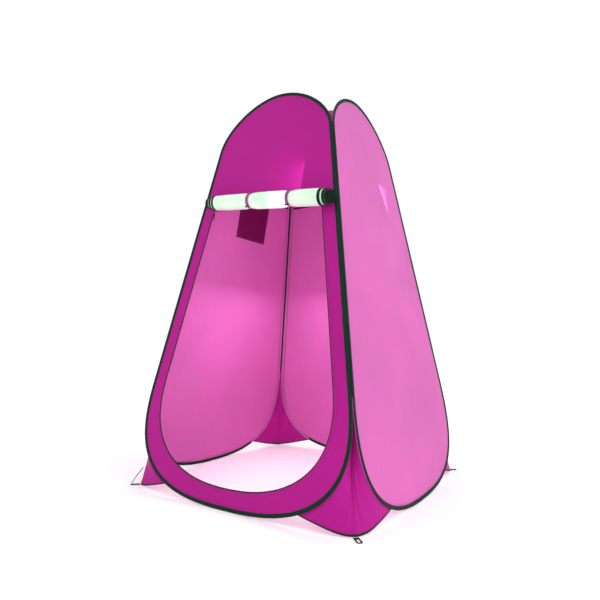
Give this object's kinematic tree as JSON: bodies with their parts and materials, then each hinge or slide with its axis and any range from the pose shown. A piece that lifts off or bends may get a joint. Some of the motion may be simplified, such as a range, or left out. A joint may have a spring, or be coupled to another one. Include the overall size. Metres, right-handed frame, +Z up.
{
  "type": "privacy shower tent",
  "caption": "Tall tapering pop-up privacy tent with spring hoop walls, a rolled-up zip door, an inner pocket and stake loops.",
  "frame": {"origin": "on the floor, under the middle of the tent (bottom centre of its bounding box)", "axes": "+Z up, the front wall with the door faces -Y, +X to the right of somebody who looks at the front from outside"},
  "size_m": [1.248, 1.248, 1.9035],
  "materials": {
    "cloth": "magenta polyester, matt with a slight sheen",
    "light_cloth": "light orchid-pink polyester, a little see-through",
    "inner_tape": "deep magenta woven tape",
    "binding": "dark green-black woven binding tape",
    "spring_steel": "bare spring steel",
    "door_lining": "pale mint coated reverse of the door cloth",
    "zip_tape": "dark zip tape with coil teeth",
    "zip_metal": "dark plated die casting",
    "pocket": "deep magenta cloth, matt",
    "tie": "mauve woven strap",
    "toggle": "near-black moulded plastic",
    "webbing": "dark woven webbing"
  },
  "bodies": {
    "front_wall": {"front_wall": "cloth", "front_hoop_binding": "binding", "front_hoop_wire": "spring_steel", "front_wire_ferrule": "spring_steel", "door_zip_tape": "zip_tape", "door_zip_teeth": "zip_tape", "door_roll": "door_lining", "door_roll_zip_edge_left": "zip_tape", "door_roll_zip_edge_right": "zip_tape", "door_tie_left": "tie", "door_tie_right": "tie", "roof_panel": "cloth", "front_right_gusset": "cloth", "front_right_gusset_hem": "binding", "front_left_gusset": "cloth", "front_left_gusset_hem": "binding"},
    "right_wall": {"right_wall": "light_cloth", "right_hoop_binding": "binding", "right_hoop_wire": "spring_steel", "right_wire_ferrule": "spring_steel", "right_hanging_tape": "inner_tape", "back_right_gusset": "cloth", "back_right_gusset_hem": "binding"},
    "back_wall": {"back_wall": "light_cloth", "back_hoop_binding": "binding", "back_hoop_wire": "spring_steel", "back_wire_ferrule": "spring_steel", "back_hanging_tape": "inner_tape"},
    "left_wall": {"left_wall": "light_cloth", "left_hoop_binding": "binding", "left_hoop_wire": "spring_steel", "left_wire_ferrule": "spring_steel", "left_hanging_tape": "inner_tape", "inner_pocket": "pocket", "back_left_gusset": "cloth", "back_left_gusset_hem": "binding"},
    "zip_slider_left": {"zip_slider_left": "zip_metal"},
    "zip_slider_right": {"zip_slider_right": "zip_metal"},
    "zip_pull_left": {"zip_pull_left": "zip_metal"},
    "zip_pull_right": {"zip_pull_right": "zip_metal"},
    "tie_toggle_left": {"tie_toggle_left": "toggle"},
    "tie_toggle_right": {"tie_toggle_right": "toggle"},
    "front_right_stake_loop": {"front_right_stake_loop": "webbing"},
    "back_right_stake_loop": {"back_right_stake_loop": "webbing"},
    "back_left_stake_loop": {"back_left_stake_loop": "webbing"},
    "front_left_stake_loop": {"front_left_stake_loop": "webbing"}
  },
  "joints": [
    {"name": "fold_front_right", "type": "hinge", "parent": "front_wall", "child": "right_wall", "pos_m": [0.62508, -0.62508, 0], "axis": [0.1687, -0.1687, -0.9711], "range_deg": [0, 88.3], "deforming": ["front_right_gusset", "front_right_gusset_hem", "roof_panel"]},
    {"name": "fold_front_left", "type": "hinge", "parent": "front_wall", "child": "left_wall", "pos_m": [-0.61086, -0.61086, 0], "axis": [-0.1687, -0.1687, -0.9711], "range_deg": [0, 91.7], "deforming": ["front_left_gusset", "front_left_gusset_hem", "back_left_gusset", "back_left_gusset_hem"]},
    {"name": "fold_back_right", "type": "hinge", "parent": "right_wall", "child": "back_wall", "pos_m": [0.61086, 0.61086, 0], "axis": [-0.1687, -0.1687, 0.9711], "range_deg": [0, 91.7], "deforming": ["back_right_gusset", "back_right_gusset_hem"]},
    {"name": "zip_slider_left_run", "type": "slide", "parent": "front_wall", "child": "zip_slider_left", "axis": [-0.1687, -0.1687, -0.9711], "range_m": [0, 0.77]},
    {"name": "zip_pull_left_swing", "type": "hinge", "parent": "zip_slider_left", "child": "zip_pull_left", "pos_m": [-0.30992, -0.38682, 1.3192], "axis": [-0.9857, 0.0289, 0.1662], "range_deg": [-100, 8]},
    {"name": "zip_slider_right_run", "type": "slide", "parent": "front_wall", "child": "zip_slider_right", "axis": [0.1687, -0.1687, -0.9711], "range_m": [0, 0.77]},
    {"name": "zip_pull_right_swing", "type": "hinge", "parent": "zip_slider_right", "child": "zip_pull_right", "pos_m": [0.30992, -0.38682, 1.3192], "axis": [-0.9857, -0.0289, -0.1662], "range_deg": [-100, 8]},
    {"name": "tie_toggle_left_turn", "type": "hinge", "parent": "front_wall", "child": "tie_toggle_left", "pos_m": [-0.04454, -0.45855, 1.30089], "axis": [-0.0938, -0.6128, -0.7847], "range_deg": [-90, 90]},
    {"name": "tie_toggle_right_turn", "type": "hinge", "parent": "front_wall", "child": "tie_toggle_right", "pos_m": [0.17819, -0.46263, 1.27744], "axis": [-0.0938, -0.6128, -0.7847], "range_deg": [-90, 90]},
    {"name": "front_right_stake_loop_lift", "type": "hinge", "parent": "front_wall", "child": "front_right_stake_loop", "pos_m": [0.568, -0.568, 0.001], "axis": [-0.7071, -0.7071, 0], "range_deg": [0, 110]},
    {"name": "back_right_stake_loop_lift", "type": "hinge", "parent": "right_wall", "child": "back_right_stake_loop", "pos_m": [0.568, 0.568, 0.001], "axis": [0.7071, -0.7071, 0], "range_deg": [0, 110]},
    {"name": "back_left_stake_loop_lift", "type": "hinge", "parent": "left_wall", "child": "back_left_stake_loop", "pos_m": [-0.568, 0.568, 0.001], "axis": [0.7071, 0.7071, 0], "range_deg": [0, 110]},
    {"name": "front_left_stake_loop_swivel", "type": "hinge", "parent": "front_wall", "child": "front_left_stake_loop", "pos_m": [-0.568, -0.568, 0.001], "axis": [0, 0, 1], "range_deg": [-40, 40]}
  ],
  "couplings": [
    {"joint": "fold_front_left", "follows": "fold_front_right", "ratio": 1.038},
    {"joint": "fold_back_right", "follows": "fold_front_right", "ratio": 1.038}
  ]
}
